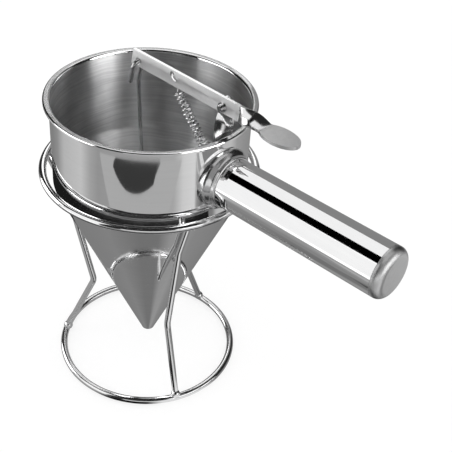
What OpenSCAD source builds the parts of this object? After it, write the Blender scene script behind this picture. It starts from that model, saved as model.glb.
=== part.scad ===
// Pancake batter dispenser: a funnel with a lever-lifted plunger, standing in a wire stand.
// Millimetres. The funnel's axis is Z, the table is z = 0 and the handle points along +X.

/* [Funnel] */
// Outside diameter of the funnel's straight wall
funnel_od = 113.6; // [90:0.1:150]
// Sheet thickness of the funnel
funnel_t = 0.8; // [0.5:0.1:1.5]
// Height of the straight wall, from the cone's bend to the rim
wall_h = 52.64; // [48:0.01:80]
// Width of the lip outside the straight wall
lip_w = 3.2; // [2.6:0.1:6]
// Depth of the lip's turned-down edge
lip_drop = 1.7; // [1.2:0.1:4]
// Radius where the wall turns out into the lip
lip_r = 0.8; // [0.5:0.1:1.5]
// Half angle of the cone
cone_half_angle = 23.45; // [21:0.05:26]
// Outside radius of the bend between wall and cone
shoulder_r = 6; // [3:0.5:12]
// Inside diameter of the outlet
outlet_d = 6; // [4:0.1:9]
// Height of the outlet above the table
outlet_z = 14.1; // [8:0.1:22]

/* [Stand] */
// Wire diameter of the two rings
ring_wire_d = 4.4; // [3.2:0.1:6]
// Wire diameter of the legs
leg_wire_d = 4; // [3:0.1:5]
// Height of the top ring's centre line above the cone's bend
ring_rise = 6.04; // [3:0.01:10]
// Centre-line diameter of the base ring
base_ring_d = 112.4; // [90:0.1:150]
// Direction of the first leg, measured from the handle
leg_azimuth = -25; // [-55:1:-15]
// Radius of the legs' knee from the funnel's axis
knee_r = 36.3; // [30:0.1:42]
// Height of the legs' knee
knee_z = 48.5; // [40:0.5:60]
// Height over which the legs follow the cone below the top ring
leg_follow = 26.4; // [18:0.1:34]
// Bend radius of the leg wire on its centre line
leg_bend_r = 9; // [5:0.5:16]
// Radius of the weld beads at the legs' ends
weld_r = 3; // [2.5:0.1:3.6]

/* [Handle] */
// Outside diameter of the handle tube
handle_d = 28.6; // [22:0.1:34]
// Wall thickness of the handle tube
handle_t = 1; // [0.6:0.1:2]
// Distance of the handle's axis below the rim
handle_drop = 26.9; // [22:0.1:29]
// Length of the handle from the funnel's wall to its end face
handle_len = 111.8; // [80:0.1:160]
// Depth of the tube's turned-down end that seats in the collar
tube_neck = 0.3; // [0.2:0.05:0.5]
// Length of the end cap's visible part
cap_len = 5.6; // [4.8:0.1:12]
// Corner radius of the end cap
cap_r = 4.5; // [2:0.1:4.7]
// Length of the end cap's spigot inside the tube
cap_spigot = 8; // [4:0.5:15]
// Outside diameter of the collar at the funnel wall
collar_d = 36; // [32:0.5:36.8]
// Length of the collar from the funnel wall
collar_len = 6.6; // [5.6:0.1:9]
// Sheet thickness of the collar
collar_t = 1.2; // [0.8:0.1:1.6]
// Depth of the tube's seat in the collar
collar_seat = 2.6; // [1.5:0.1:3]
// Length of the threaded insert inside the tube
insert_len = 14; // [8:0.5:30]
// Diameter of the screw that holds the handle
screw_d = 5; // [4:0.1:5.4]
// Diameter of the screw's head
screw_head_d = 9; // [8:0.1:10]
// Height of the screw's head
screw_head_h = 2.8; // [2:0.1:3.4]
// Across flats of the screw's socket
screw_key = 3; // [2:0.1:4]
// Thickness of the flat washers
washer_t = 0.8; // [0.5:0.1:1.2]

/* [Bracket and pivot] */
// Width of the bracket's strip
bracket_w = 10; // [8.4:0.1:10.4]
// Thickness of the bracket's strip
bracket_t = 1.6; // [1:0.1:2]
// Length of the bracket's foot below the handle's axis
foot_drop = 10; // [6:0.5:14]
// Distance of the pivot inside the funnel's wall
pivot_inset = 2.8; // [1.8:0.1:3.8]
// Height of the pivot above the rim
pivot_rise = 16.2; // [15:0.1:22]
// Diameter of the pivot pin
pin_d = 4; // [3:0.1:5]
// Diameter of the pin's head
pin_head_d = 7; // [6:0.1:9]
// Height of the pin's head
pin_head_h = 1.5; // [1:0.1:2.5]
// Length of the riveted stub beyond the near washer
pin_stub = 2; // [1:0.1:3]

/* [Lever] */
// Height of the lever's strip
lever_h = 9.2; // [8.4:0.1:11]
// Thickness of the lever's strip
lever_t = 1.8; // [1.2:0.1:2.2]
// Slope of the lever at rest, down towards the thumb pad
lever_slope = 1.5; // [0:0.1:3]
// Height of the strip's centre line above the pivot
lever_offset = 1.05; // [0:0.05:1.6]
// Distance of the plunger hole beyond the funnel's axis
rod_past_axis = 10; // [8:0.1:11]
// Length of the lever beyond the plunger hole
tip_len = 5; // [3.8:0.1:10]
// Height of the plunger hole above the lever's centre line
rod_hole_rise = -1.35; // [-1.5:0.05:0.5]
// Diameter of the plunger hole
rod_hole_d = 4.2; // [4:0.1:5]
// Distance from the pivot to the spring hole
spring_reach = 37.2; // [34:0.1:40]
// Height of the spring hole above the lever's centre line
spring_hole_rise = 2.1; // [0.5:0.05:2.3]
// Diameter of the spring hole
spring_hole_d = 3; // [2.4:0.1:3.6]
// Distance from the pivot to the start of the twist
twist_start = 8; // [7.5:0.1:12]
// Distance from the pivot to the end of the twist
twist_end = 30; // [26:0.1:34]
// Length of the thumb pad
pad_len = 24.6; // [18:0.1:32]
// Width of the thumb pad
pad_w = 15; // [11:0.1:22]
// Distance from the pivot to the pad's middle
pad_reach = 37.7; // [34:0.1:46]

/* [Plunger and spring] */
// Diameter of the plunger's wire
rod_d = 2.4; // [2:0.1:2.8]
// Bend radius of the hook on the wire's centre line
hook_r = 3.3; // [3.1:0.1:4]
// Lean of the hook from the vertical
hook_lean = 13.8; // [8:0.1:16]
// Distance from the plunger hole down to the wire's bend
hook_drop = 14.2; // [12:0.1:20]
// Length of the hook's free leg below its bend
hook_leg = 10; // [6:0.1:14]
// Diameter of the stopper's ball nose
stopper_d = 10; // [8:0.1:14]
// Height of the stopper above the centre of its nose
stopper_h = 11; // [8:0.5:20]
// Wire diameter of the spring
spring_wire_d = 0.9; // [0.6:0.05:1.1]
// Outside diameter of the spring's coil
spring_od = 6.2; // [4.5:0.1:7.2]
// Number of full turns in the spring
spring_turns = 16; // [8:1:17]

/* [Clearances] */
// Gap between pieces of different bodies that rest on each other
seat_gap = 0.3; // [0.15:0.05:0.5]
// Radial clearance of the lever on its pin
pin_clear = 0.06; // [0.02:0.01:0.1]
// Side clearance of the lever between its washers
side_clear = 0.08; // [0.05:0.01:0.2]
// Radial clearance of the screw in its plain holes
screw_clear = 0.15; // [0.1:0.05:0.3]

/* [Hidden] */
steel = [0.78, 0.78, 0.79];
bright = [0.86, 0.86, 0.88];
dull = [0.62, 0.62, 0.64];
through = 400;
merge = 0.5;
// Straight wires run this far into a bend, which is that much fatter, so that they join
bend_merge = 0.05;
bend_fat = 0.02;

// Funnel section
wall_r = funnel_od / 2;
bore_r = wall_r - funnel_t;
lip_or = wall_r + lip_w;
lip_edge_r = 0.8;
mouth_r = outlet_d / 2;
mouth_or = mouth_r + funnel_t / cos(cone_half_angle);
mouth_edge_r = 0.5;
mouth_edge_run = mouth_edge_r * tan(45 - cone_half_angle / 2);
shoulder_c = [
  wall_r - shoulder_r,
  outlet_z + (wall_r - shoulder_r + shoulder_r / cos(cone_half_angle) - mouth_or) / tan(cone_half_angle)
];
rim_z = shoulder_c[1] + wall_h;

// Stand
leg_wire_r = leg_wire_d / 2;
ring_wire_r = ring_wire_d / 2;
leg_off = (leg_wire_r + seat_gap) / cos(cone_half_angle);
top_ring_z = shoulder_c[1] + ring_rise;
leg_bend_z = top_ring_z - leg_follow;
top_ring_r = cone_r(top_ring_z) + leg_off;
base_ring_r = base_ring_d / 2;
leg_end_back = 0.5;
leg_path = [
  [base_ring_r, ring_wire_r],
  [knee_r, knee_z],
  [cone_r(leg_bend_z) + leg_off, leg_bend_z],
  [top_ring_r, top_ring_z]
];

// Handle
handle_r = handle_d / 2;
handle_z = rim_z - handle_drop;
handle_end_x = wall_r + handle_len;
seat_r = handle_r - tube_neck;
tube_ir = handle_r - handle_t;
collar_end = wall_r + collar_len;
tube_start = collar_end - collar_seat;
tube_end = handle_end_x - cap_len;
cap_t = 1.2;
collar_bead = 0.9;

// Screw stack, from the wall inwards
screw_r = screw_d / 2;
washer_r = 5;
foot_r = bore_r - bracket_t;
washer_x = sqrt(foot_r * foot_r - washer_r * washer_r);
spring_wire_r = spring_wire_d / 2;
eye_x = washer_x - washer_t - spring_wire_r - side_clear;
head_x = eye_x - spring_wire_r - side_clear;
eye_r = screw_r + spring_wire_r + 0.1;

// Pivot stack, from the lever outwards
pin_r = pin_d / 2;
pivot_x = bore_r - pivot_inset;
pivot_z = rim_z + pivot_rise;
spacer_t = 0.55;
near_washer_t = 0.7;
near_washer_r = pin_r + 0.75;
tip_slant = 0.8;
lever_y = lever_t / 2;
ear_y = lever_y + side_clear + spacer_t;
near_y = lever_y + side_clear + near_washer_t;
pin_stub_r = pin_r - 0.15;

// Bracket path
twist_low_z = rim_z - 5;
twist_high_z = rim_z + 11;
strip_start_x = sqrt(bore_r * bore_r - bracket_w * bracket_w / 4) - bracket_t / 2 - 0.05;
strip_start_z = handle_z + 13;
foot_top_z = strip_start_z + 2;

// Lever and plunger points, in the pivot's own frame and in the part's frame
rod_reach = pivot_x + rod_past_axis;
tip_reach = rod_reach + tip_len;
rod_hole = [-rod_reach, lever_offset + rod_hole_rise];
spring_hole = [-spring_reach, lever_offset + spring_hole_rise];
rod_at = lever_point(rod_hole);
spring_at = lever_point(spring_hole);
rod_r = rod_d / 2;
hook_y = lever_y + seat_gap + 0.1 + rod_r;
hook_rise = 0.25;
bend_at = rod_at + [-hook_drop * sin(hook_lean), hook_y, -hook_drop * cos(hook_lean)];
ball_r = stopper_d / 2;
ball_z = outlet_z + ((ball_r + seat_gap) / cos(cone_half_angle) - mouth_r) / tan(cone_half_angle);
ball_at = [0, 0, ball_z];
rod_run = bend_at - ball_at;
rod_len = norm(rod_run);
rod_tilt = acos(rod_run[2] / rod_len);
rod_turn = atan2(rod_run[1], rod_run[0]);
rod_socket = 4;

// Spring path
coil_r = (spring_od - spring_wire_d) / 2;
eye_at = [eye_x, 0, handle_z];
coil_drop = lever_h / 2 + spring_hole_rise + coil_r + 0.6;
coil_start = spring_at + [4.5, 0, -coil_drop];
coil_dir = unit(eye_at - coil_start);
coil_end = eye_at - coil_dir * (screw_head_d / 2 + coil_r + 5);
coil_side = cross([0, 1, 0], coil_dir);
coil_span = norm(coil_end - coil_start);
coil_a0 = 90;
coil_a1 = 180 + 360 * spring_turns;
lead_y = lever_y + spring_wire_r + seat_gap;
spring_sides = 6;
spring_steps = 12;
lead_steps = 9;

function unit(v) = v / norm(v);
function mix(a, b, t) = a + (b - a) * t;
function clamp01(t) = min(1, max(0, t));
function smooth(t) = let (u = clamp01(t)) u * u * (3 - 2 * u);
function arc(c, r, a0, a1, n) = [for (i = [0 : n]) let (a = mix(a0, a1, i / n)) c + r * [cos(a), sin(a)]];
function bezier(a, b, c, d, t) =
  let (s = 1 - t) a * s * s * s + b * 3 * s * s * t + c * 3 * s * t * t + d * t * t * t;
// Outside radius of the cone at height z
function cone_r(z) = mouth_or + (z - outlet_z) * tan(cone_half_angle);
// A point of the lever, given along it and across it from the pivot, in the part's frame
function lever_point(p) = [
  pivot_x + p[0] * cos(lever_slope) + p[1] * sin(lever_slope),
  0,
  pivot_z - p[0] * sin(lever_slope) + p[1] * cos(lever_slope)
];

// ---- shared shapes ----

// A solid through equal-sized rings of points, closed at both ends
module loft(rings) {
  n = len(rings[0]);
  last = len(rings) - 1;
  sides = [
    for (i = [0 : last - 1], j = [0 : n - 1])
      [i * n + j, i * n + (j + 1) % n, (i + 1) * n + (j + 1) % n, (i + 1) * n + j]
  ];
  split = [for (q = sides) each [[q[0], q[1], q[2]], [q[0], q[2], q[3]]]];
  near_end = [[for (j = [n - 1 : -1 : 0]) j]];
  far_end = [[for (j = [0 : n - 1]) last * n + j]];
  polyhedron([for (ring = rings) each ring], concat(split, near_end, far_end), convexity = 8);
}

// A ring of round wire lying flat
module wire_ring(r, wire_r, z) {
  translate([0, 0, z]) rotate_extrude($fn = 180) translate([r, 0]) circle(wire_r, $fn = 48);
}

// Round wire bent in the XZ plane along a path of [x, z] points
module bent_wire(path, wire_r, bend_r) {
  last = len(path) - 1;
  dirs = [for (i = [0 : last - 1]) unit(path[i + 1] - path[i])];
  turns = [
    for (i = [1 : last - 1])
      let (u = dirs[i - 1], v = dirs[i]) atan2(u[0] * v[1] - u[1] * v[0], u * v)
  ];
  cuts = [for (i = [0 : last]) i == 0 || i == last ? 0 : bend_r * tan(abs(turns[i - 1]) / 2)];
  rotate([90, 0, 0]) {
    for (i = [0 : last - 1]) {
      start = path[i] + dirs[i] * (cuts[i] - bend_merge);
      run = norm(path[i + 1] - path[i]) - cuts[i] - cuts[i + 1] + 2 * bend_merge;
      translate([start[0], start[1], 0])
        rotate([0, 90, atan2(dirs[i][1], dirs[i][0])])
          cylinder(run, r = wire_r, $fn = 48);
    }
    for (i = [1 : last - 1]) {
      side = sign(turns[i - 1]);
      u = dirs[i - 1];
      centre = path[i] - u * cuts[i] + side * bend_r * [-u[1], u[0]];
      translate([centre[0], centre[1], 0])
        rotate([0, 0, atan2(u[1], u[0]) - side * 90 + (side < 0 ? turns[i - 1] : 0)])
          rotate_extrude(angle = abs(turns[i - 1]), $fn = 180)
            translate([bend_r, 0]) circle(wire_r + bend_fat, $fn = 48);
    }
  }
}

// ---- stand ----

module top_ring() {
  color(bright) wire_ring(top_ring_r, ring_wire_r, top_ring_z);
}

module base_ring() {
  color(bright) wire_ring(base_ring_r, ring_wire_r, ring_wire_r);
}

module weld(at, towards) {
  p = at + unit(towards - at) * ring_wire_r;
  translate([p[0], 0, p[1]]) sphere(weld_r, $fn = 48);
}

module leg(index) {
  foot = leg_path[0];
  top = leg_path[3];
  foot_end = foot + unit(leg_path[1] - foot) * leg_end_back;
  top_end = top + unit(leg_path[2] - top) * leg_end_back;
  color(bright)
    rotate([0, 0, leg_azimuth + 120 * index])
      difference() {
        union() {
          bent_wire([foot_end, leg_path[1], leg_path[2], top_end], leg_wire_r, leg_bend_r);
          weld(foot, leg_path[1]);
        }
        wire_ring(base_ring_r, ring_wire_r, ring_wire_r);
        wire_ring(top_ring_r, ring_wire_r, top_ring_z);
      }
}

module leg_1() {
  leg(0);
}

module leg_2() {
  leg(1);
}

module leg_3() {
  leg(2);
}

// ---- funnel ----

module funnel_section() {
  neck_z = rim_z - funnel_t - lip_r;
  polygon(concat(
    arc([mouth_or - mouth_edge_run, outlet_z + mouth_edge_r], mouth_edge_r, -90, -cone_half_angle, 4),
    arc(shoulder_c, shoulder_r, -cone_half_angle, 0, 10),
    arc([wall_r + lip_r, neck_z], lip_r, 180, 90, 8),
    [[lip_or - funnel_t, rim_z - funnel_t], [lip_or - funnel_t, rim_z - lip_drop], [lip_or, rim_z - lip_drop]],
    arc([lip_or - lip_edge_r, rim_z - lip_edge_r], lip_edge_r, 0, 90, 6),
    arc([wall_r + lip_r, neck_z], lip_r + funnel_t, 90, 180, 8),
    arc(shoulder_c, shoulder_r - funnel_t, 0, -cone_half_angle, 10),
    [[mouth_r, outlet_z]]
  ));
}

module funnel() {
  color(steel)
    difference() {
      rotate_extrude($fn = 180) funnel_section();
      translate([0, 0, handle_z]) rotate([0, 90, 0]) cylinder(through, r = screw_r + screw_clear, $fn = 48);
    }
}

// ---- handle ----

module handle_collar() {
  top_r = handle_r + collar_bead;
  flange_r = collar_d / 2;
  x0 = wall_r - 5;
  x1 = wall_r + 0.8;
  color(bright)
    difference() {
      translate([0, 0, handle_z])
        rotate([0, 90, 0])
          rotate_extrude($fn = 120)
            polygon(concat(
              [[flange_r, x0], [flange_r, x1]],
              [for (i = [1 : 10])
                let (t = i / 10) [mix(flange_r - 0.3, top_r + 0.3, smooth(t)), mix(x1 + 0.3, collar_end - 1.6, t)]],
              arc([top_r - 0.7, collar_end - 0.8], 0.7, 0, 90, 5),
              [[seat_r, collar_end], [seat_r, tube_start], [screw_r + screw_clear, tube_start]],
              [[screw_r + screw_clear, tube_start - collar_t], [handle_r - 1, tube_start - collar_t]],
              [[flange_r - collar_t - 0.6, x1 - 0.6], [flange_r - collar_t, x0]]
            ));
      cylinder(through, r = wall_r, $fn = 180);
    }
}

module handle_tube() {
  color(bright)
    translate([tube_start, 0, handle_z])
      rotate([0, 90, 0])
        difference() {
          union() {
            cylinder(tube_end - tube_start, r = seat_r, $fn = 120);
            translate([0, 0, collar_seat]) cylinder(tube_end - collar_end, r = handle_r, $fn = 120);
          }
          translate([0, 0, -1]) cylinder(tube_end - tube_start + 2, r = tube_ir, $fn = 120);
        }
}

module handle_end_cap() {
  color(dull)
    translate([tube_end, 0, handle_z])
      rotate([0, 90, 0])
        rotate_extrude($fn = 120)
          polygon(concat(
            [[tube_ir, -cap_spigot], [tube_ir, 0], [handle_r - 0.2, 0], [handle_r, 0.2]],
            arc([handle_r - cap_r, cap_len - cap_r], cap_r, 0, 90, 10),
            [[0, cap_len], [0, cap_len - cap_t], [handle_r - cap_r, cap_len - cap_t]],
            [[tube_ir - cap_t, cap_len - cap_r], [tube_ir - cap_t, -cap_spigot]]
          ));
}

module handle_insert() {
  color(dull)
    translate([tube_start, 0, handle_z])
      rotate([0, 90, 0])
        difference() {
          cylinder(insert_len, r = tube_ir, $fn = 120);
          translate([0, 0, -1]) cylinder(insert_len + 2, r = screw_r, $fn = 48);
        }
}

module handle_screw() {
  shank = tube_start + insert_len - 3 - head_x;
  color(bright)
    translate([head_x, 0, handle_z])
      rotate([0, 90, 0])
        difference() {
          union() {
            cylinder(shank, r = screw_r, $fn = 48);
            mirror([0, 0, 1])
              rotate_extrude($fn = 60)
                polygon(concat(
                  [[0, 0], [screw_head_d / 2, 0]],
                  arc([screw_head_d / 2 - 1, screw_head_h - 1], 1, 0, 90, 5),
                  [[0, screw_head_h]]
                ));
          }
          translate([0, 0, -screw_head_h - 1])
            cylinder(screw_head_h, r = screw_key / 2 / cos(30), $fn = 6);
        }
}

module screw_washer() {
  color(dull)
    translate([washer_x - washer_t, 0, handle_z])
      rotate([0, 90, 0])
        difference() {
          cylinder(washer_t, r = washer_r, $fn = 60);
          translate([0, 0, -1]) cylinder(washer_t + 2, r = screw_r + screw_clear, $fn = 48);
        }
}

// ---- bracket and pivot ----

// Section of the bracket's strip, turned by a in the plane of height z
function strip_ring(x, y, z, a) = [
  for (c = [[-1, -1], [1, -1], [1, 1], [-1, 1]])
    let (w = c[0] * bracket_w / 2, t = c[1] * bracket_t / 2)
      [x + w * sin(a) + t * cos(a), y + w * cos(a) - t * sin(a), z]
];

module bracket_strip() {
  mid_y = ear_y + bracket_t / 2;
  levels = concat(
    [for (i = [0 : 5]) mix(strip_start_z, twist_low_z, i / 6)],
    [for (i = [0 : 16]) mix(twist_low_z, twist_high_z + merge, i / 16)]
  );
  loft([
    for (z = levels)
      let (
        lean = smooth((z - strip_start_z) / (twist_low_z - strip_start_z)),
        turn = smooth((z - twist_low_z) / (twist_high_z - twist_low_z))
      )
        strip_ring(mix(strip_start_x, pivot_x, lean), mid_y * turn, z, 90 * turn)
  ]);
}

module pivot_bracket() {
  color(bright)
    difference() {
      union() {
        intersection() {
          difference() {
            cylinder(through, r = bore_r, $fn = 180);
            translate([0, 0, -1]) cylinder(through + 2, r = foot_r, $fn = 180);
          }
          translate([0, 0, handle_z])
            rotate([0, 90, 0])
              union() {
                translate([foot_drop - bracket_w / 2, 0, 0]) cylinder(through, r = bracket_w / 2, $fn = 60);
                translate([handle_z - foot_top_z, -bracket_w / 2, 0])
                  cube([foot_top_z - handle_z + foot_drop - bracket_w / 2, bracket_w, through]);
              }
        }
        bracket_strip();
        translate([0, ear_y + bracket_t, 0])
          rotate([90, 0, 0])
            linear_extrude(bracket_t)
              union() {
                translate([pivot_x, pivot_z]) circle(bracket_w / 2, $fn = 60);
                translate([pivot_x - bracket_w / 2, twist_high_z])
                  square([bracket_w, pivot_z - twist_high_z]);
              }
      }
      translate([0, 0, handle_z]) rotate([0, 90, 0]) cylinder(through, r = screw_r + screw_clear, $fn = 48);
      translate([pivot_x, ear_y + bracket_t + 1, pivot_z])
        rotate([90, 0, 0]) cylinder(bracket_t + 2, r = pin_r, $fn = 60);
    }
}

module pivot_pin() {
  far_y = ear_y + bracket_t;
  color(dull)
    translate([pivot_x, far_y, pivot_z])
      rotate([90, 0, 0])
        rotate_extrude($fn = 60)
          polygon(concat(
            [[0, -pin_head_h], [pin_head_d / 2 - 1.2, -pin_head_h]],
            arc([pin_head_d / 2 - 1, 0.2 - pin_head_h + 0.8], 1, -90, 0, 5),
            [[pin_head_d / 2, 0], [pin_r, 0], [pin_r, far_y + near_y]],
            [[pin_stub_r, far_y + near_y], [pin_stub_r, far_y + near_y + pin_stub - 0.5]],
            [[pin_stub_r - 0.5, far_y + near_y + pin_stub], [0, far_y + near_y + pin_stub]]
          ));
}

module flat_washer(y, t, r, hole_r) {
  translate([pivot_x, y + t, pivot_z])
    rotate([90, 0, 0])
      difference() {
        cylinder(t, r = r, $fn = 60);
        translate([0, 0, -1]) cylinder(t + 2, r = hole_r, $fn = 60);
      }
}

module pivot_spacer() {
  color(dull) flat_washer(ear_y - spacer_t, spacer_t, near_washer_r + 0.4, pin_r);
}

module pivot_washer() {
  color(dull) flat_washer(-near_y, near_washer_t, near_washer_r, pin_r);
}

// ---- lever ----

// Half width of the thumb pad and its neck at distance u from the pivot
function pad_half(u) =
  let (q = (u - pad_reach) / (pad_len / 2)) max(u < pad_reach ? lever_h / 2 : 0.3, pad_w / 2 * sqrt(max(0, 1 - q * q)));

// Section of the twisted strip: the low edge swings to the near side before the high edge swings away
function lever_ring(u) =
  let (
    span = twist_end - twist_start,
    low = 90 * smooth((u - twist_start) / (span * 0.85)),
    high = 90 * smooth((u - twist_start - span * 0.18) / (span * 0.82)),
    r = pad_half(u),
    sink = -lever_offset * smooth((u - twist_start - span * 0.4) / (span * 0.6)),
    n = [-r * sin(low), -r * cos(low) + sink],
    f = [r * sin(high), r * cos(high) + sink],
    d = unit(f - n),
    s = lever_y * [d[1], -d[0]]
  )
    [for (p = [n + s, n - s, f - s, f + s]) [u, p[0], lever_offset + p[1]]];

// The slanted end at the lever's tip
function tip_ring() =
  let (half = lever_h / 2, low_u = -tip_reach - tip_slant, high_u = -tip_reach + tip_slant)
    [
      [low_u, lever_y, lever_offset - half], [low_u, -lever_y, lever_offset - half],
      [high_u, -lever_y, lever_offset + half], [high_u, lever_y, lever_offset + half]
    ];

module lever() {
  pad_end = pad_reach + pad_len / 2;
  round_from = pad_reach + pad_len / 4;
  steps = concat(
    [for (i = [0 : 24]) mix(twist_start, round_from, i / 24)],
    [for (i = [1 : 9]) mix(round_from, pad_end - 0.01, sin(10 * i))]
  );
  color(bright)
    translate([pivot_x, 0, pivot_z])
      rotate([0, lever_slope, 0])
        difference() {
          loft(concat([tip_ring()], [for (u = steps) lever_ring(u)]));
          for (h = [[0, 0, pin_r + pin_clear], concat(rod_hole, rod_hole_d / 2), concat(spring_hole, spring_hole_d / 2)])
            translate([h[0], lever_t, h[1]])
              rotate([90, 0, 0]) cylinder(2 * lever_t, r = h[2], $fn = 48);
        }
}

// ---- plunger ----

module hook() {
  arch_z = hook_rise - hook_r;
  near_y = hook_y - 2 * hook_r;
  translate(rod_at)
    rotate([0, hook_lean, 0]) {
      translate([0, hook_y - hook_r, arch_z])
        rotate([90, 0, 90])
          rotate_extrude(angle = 180, $fn = 120) translate([hook_r, 0]) circle(rod_r + bend_fat, $fn = 36);
      translate([0, hook_y, -hook_drop]) cylinder(hook_drop + arch_z + bend_merge, r = rod_r, $fn = 36);
      translate([0, near_y, arch_z - hook_leg]) cylinder(hook_leg + bend_merge, r = rod_r, $fn = 36);
    }
}

module plunger_rod() {
  color(bright)
    union() {
      hook();
      translate(ball_at)
        rotate([0, rod_tilt, rod_turn]) {
          translate([0, 0, rod_socket]) cylinder(rod_len - rod_socket, r = rod_r, $fn = 36);
          translate([0, 0, rod_len]) sphere(rod_r + bend_fat, $fn = 36);
        }
    }
}

module stopper() {
  neck_r = rod_r + 1.4;
  color(dull)
    translate(ball_at)
      rotate([0, rod_tilt, rod_turn])
        difference() {
          rotate_extrude($fn = 90)
            polygon(concat(
              arc([0, 0], ball_r, -90, 0, 16),
              [[ball_r, stopper_h - 4], [neck_r, stopper_h - 1], [neck_r, stopper_h], [0, stopper_h]]
            ));
          translate([0, 0, rod_socket]) cylinder(stopper_h, r = rod_r, $fn = 36);
        }
}

// ---- return spring ----

function coil_point(a) =
  mix(coil_start, coil_end, (a - coil_a0) / (coil_a1 - coil_a0))
  + coil_r * (cos(a) * [0, 1, 0] + sin(a) * coil_side);

function eye_point(a) = eye_at + eye_r * [0, cos(a), sin(a)];

function spring_path() =
  let (
    tip = spring_at + [3.9, -lead_y, -2.7],
    first = coil_point(coil_a0),
    final = coil_point(coil_a1),
    clear_z = screw_head_d / 2 + spring_wire_r + 0.3,
    over = eye_at + [0, -eye_r, clear_z]
  )
    concat(
      [for (i = [0 : lead_steps - 1])
        bezier(tip, tip + [-2.6, -0.4, 0.2], spring_at + [0, -lead_y, 0], spring_at, i / lead_steps)],
      [for (i = [0 : lead_steps])
        bezier(spring_at, spring_at + [0, 3, 0], first + [0, 4.2, 1], first, i / (lead_steps + 1))],
      [for (i = [0 : spring_steps * (spring_turns + 0.25)])
        coil_point(coil_a0 + 360 * i / spring_steps)],
      [for (i = [1 : lead_steps])
        bezier(final, final - 3.5 * coil_side, over + [0, 0, 4.5], over, i / lead_steps)],
      [for (a = [180 : 20 : 400]) eye_point(a)]
    );

// Directions across the wire, each carried on from the one before it so that the wire doesn't twist
function carried(dirs) = [
  for (i = 0, n = unit(cross(dirs[0], [0, 0, 1])); i < len(dirs);
       i = i + 1, n = i < len(dirs) ? unit(n - (n * dirs[i]) * dirs[i]) : n)
    n
];

module return_spring() {
  path = spring_path();
  last = len(path) - 1;
  dirs = [for (i = [0 : last]) unit(path[min(last, i + 1)] - path[max(0, i - 1)])];
  across = carried(dirs);
  color(steel)
    loft([
      for (i = [0 : last])
        let (n = across[i], b = cross(dirs[i], n))
          [for (j = [spring_sides - 1 : -1 : 0])
            let (a = 360 * j / spring_sides) path[i] + spring_wire_r * (cos(a) * n + sin(a) * b)]
    ]);
}

top_ring();
base_ring();
leg_1();
leg_2();
leg_3();
funnel();
pivot_bracket();
handle_collar();
handle_tube();
handle_end_cap();
handle_insert();
handle_screw();
screw_washer();
pivot_pin();
pivot_spacer();
pivot_washer();
lever();
plunger_rod();
stopper();
return_spring();
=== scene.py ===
# Batter dispenser: a polished funnel with a lever-lifted plunger, standing in a wire stand.
# Metres throughout. The funnel's axis is Z, the handle points along +X and the table is z = 0.
from math import cos, pi, radians, sin, sqrt, tan

import bmesh
import bpy
from mathutils import Matrix, Vector


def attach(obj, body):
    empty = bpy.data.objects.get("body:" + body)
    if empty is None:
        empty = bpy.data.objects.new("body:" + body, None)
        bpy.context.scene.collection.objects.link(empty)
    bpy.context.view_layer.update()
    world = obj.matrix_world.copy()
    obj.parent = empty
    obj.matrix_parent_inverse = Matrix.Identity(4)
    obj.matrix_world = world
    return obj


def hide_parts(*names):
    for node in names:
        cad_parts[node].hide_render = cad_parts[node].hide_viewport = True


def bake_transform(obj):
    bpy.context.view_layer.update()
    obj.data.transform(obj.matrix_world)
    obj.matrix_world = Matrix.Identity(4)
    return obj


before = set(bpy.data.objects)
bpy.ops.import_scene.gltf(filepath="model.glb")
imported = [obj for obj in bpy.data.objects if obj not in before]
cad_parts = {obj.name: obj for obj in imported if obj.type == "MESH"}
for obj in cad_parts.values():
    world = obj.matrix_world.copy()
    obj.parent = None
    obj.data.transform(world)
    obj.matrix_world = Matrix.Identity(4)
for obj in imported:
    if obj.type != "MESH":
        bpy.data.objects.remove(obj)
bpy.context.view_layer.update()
scene = bpy.context.scene
scene.view_settings.view_transform = "Standard"
mm = 0.001
common = {
    "gap": 0.3 * mm,  # between pieces on different bodies that rest on each other
    "sideClear": 0.08 * mm,  # beside the lever, and between the pieces on the screw
    "smallMerge": 0.004 * mm, "stripMerge": 0.02 * mm,  # points closer than this become one
    "loopInset": 0.12 * mm,  # how far from the ends of a straight its shading loops lie
    "sharpAngle": 35,
}
print("frame loaded:", len(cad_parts), "nodes")


def mixed(a, b, t):
    return a + (b - a) * t


def smoothStep(t):
    t = min(1.0, max(0.0, t))
    return t * t * (3 - 2 * t)


def aimed(place, direction, track="Z"):
    # a transform that stands at a place and points its track axis in a direction
    turn = Vector(direction).to_track_quat(track, "Y").to_matrix().to_4x4()
    turn.translation = Vector(place)
    return turn


def newObject(name, mesh):
    obj = bpy.data.objects.new(name, mesh)
    scene.collection.objects.link(obj)
    return obj


def meshFrom(name, bm):
    mesh = bpy.data.meshes.new(name)
    bm.to_mesh(mesh)
    bm.free()
    return mesh


def appliedMesh(obj):
    # the mesh that an object has once its modifiers are applied
    bpy.context.view_layer.update()
    return bpy.data.meshes.new_from_object(obj.evaluated_get(bpy.context.evaluated_depsgraph_get()))


def mergeAndTurn(bm, apart):
    # joins close points, then turns the faces outwards
    bmesh.ops.remove_doubles(bm, verts=bm.verts[:], dist=apart)
    bmesh.ops.recalc_face_normals(bm, faces=bm.faces[:])


def penLine(bm, vert, to):
    # carries an outline on to the next point
    new = bmesh.ops.extrude_vert_indiv(bm, verts=[vert])["verts"][0]
    new.co = Vector(to)
    return new


def penArc(bm, vert, centre, axis, angle, steps):
    # carries an outline round a centre
    out = bmesh.ops.spin(bm, geom=[vert], cent=Vector(centre), axis=Vector(axis), angle=angle,
                         steps=steps, use_merge=False, use_duplicate=False)
    return [g for g in out["geom_last"] if isinstance(g, bmesh.types.BMVert)][0]


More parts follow.
